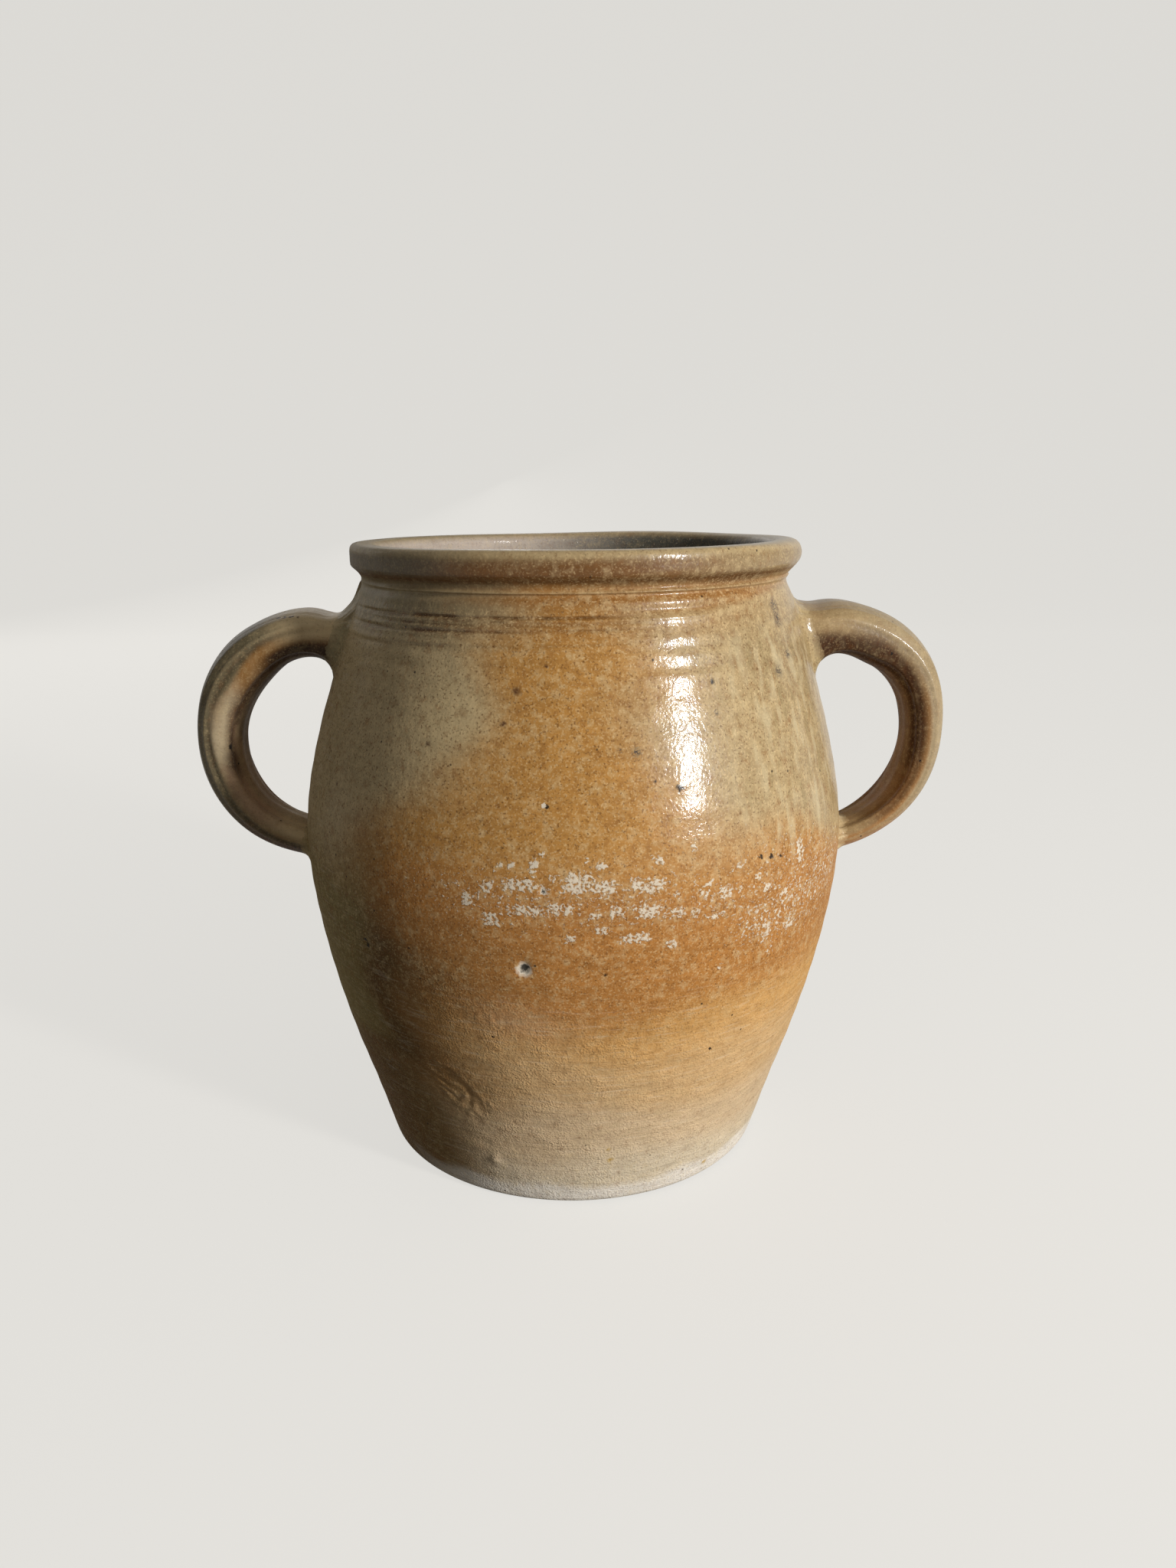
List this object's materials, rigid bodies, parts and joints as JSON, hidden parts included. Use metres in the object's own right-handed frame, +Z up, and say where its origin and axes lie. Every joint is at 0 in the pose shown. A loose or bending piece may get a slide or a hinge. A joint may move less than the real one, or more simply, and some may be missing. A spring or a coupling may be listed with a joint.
{
  "type": "two-handled stoneware pot",
  "caption": "Open stoneware storage pot with a rounded belly, tooled shoulder, undercut neck and rolled lip, and upright strap handles luted on opposite sides.",
  "frame": {"origin": "middle of the foot, on the surface that the pot stands on", "axes": "+Z up along the pot's axis, +X through both handles, -Y towards the viewer of the picture"},
  "size_m": [0.245, 0.1764, 0.2],
  "materials": {
    "salt_glazed_stoneware": "salt glaze, ochre to grey-olive, semi-gloss above and matte towards the foot"
  },
  "bodies": {
    "root": {"thrown_pot": "salt_glazed_stoneware", "left_handle": "salt_glazed_stoneware", "right_handle": "salt_glazed_stoneware", "left_upper_luting": "salt_glazed_stoneware", "left_lower_luting": "salt_glazed_stoneware", "right_upper_luting": "salt_glazed_stoneware", "right_lower_luting": "salt_glazed_stoneware"}
  },
  "joints": []
}
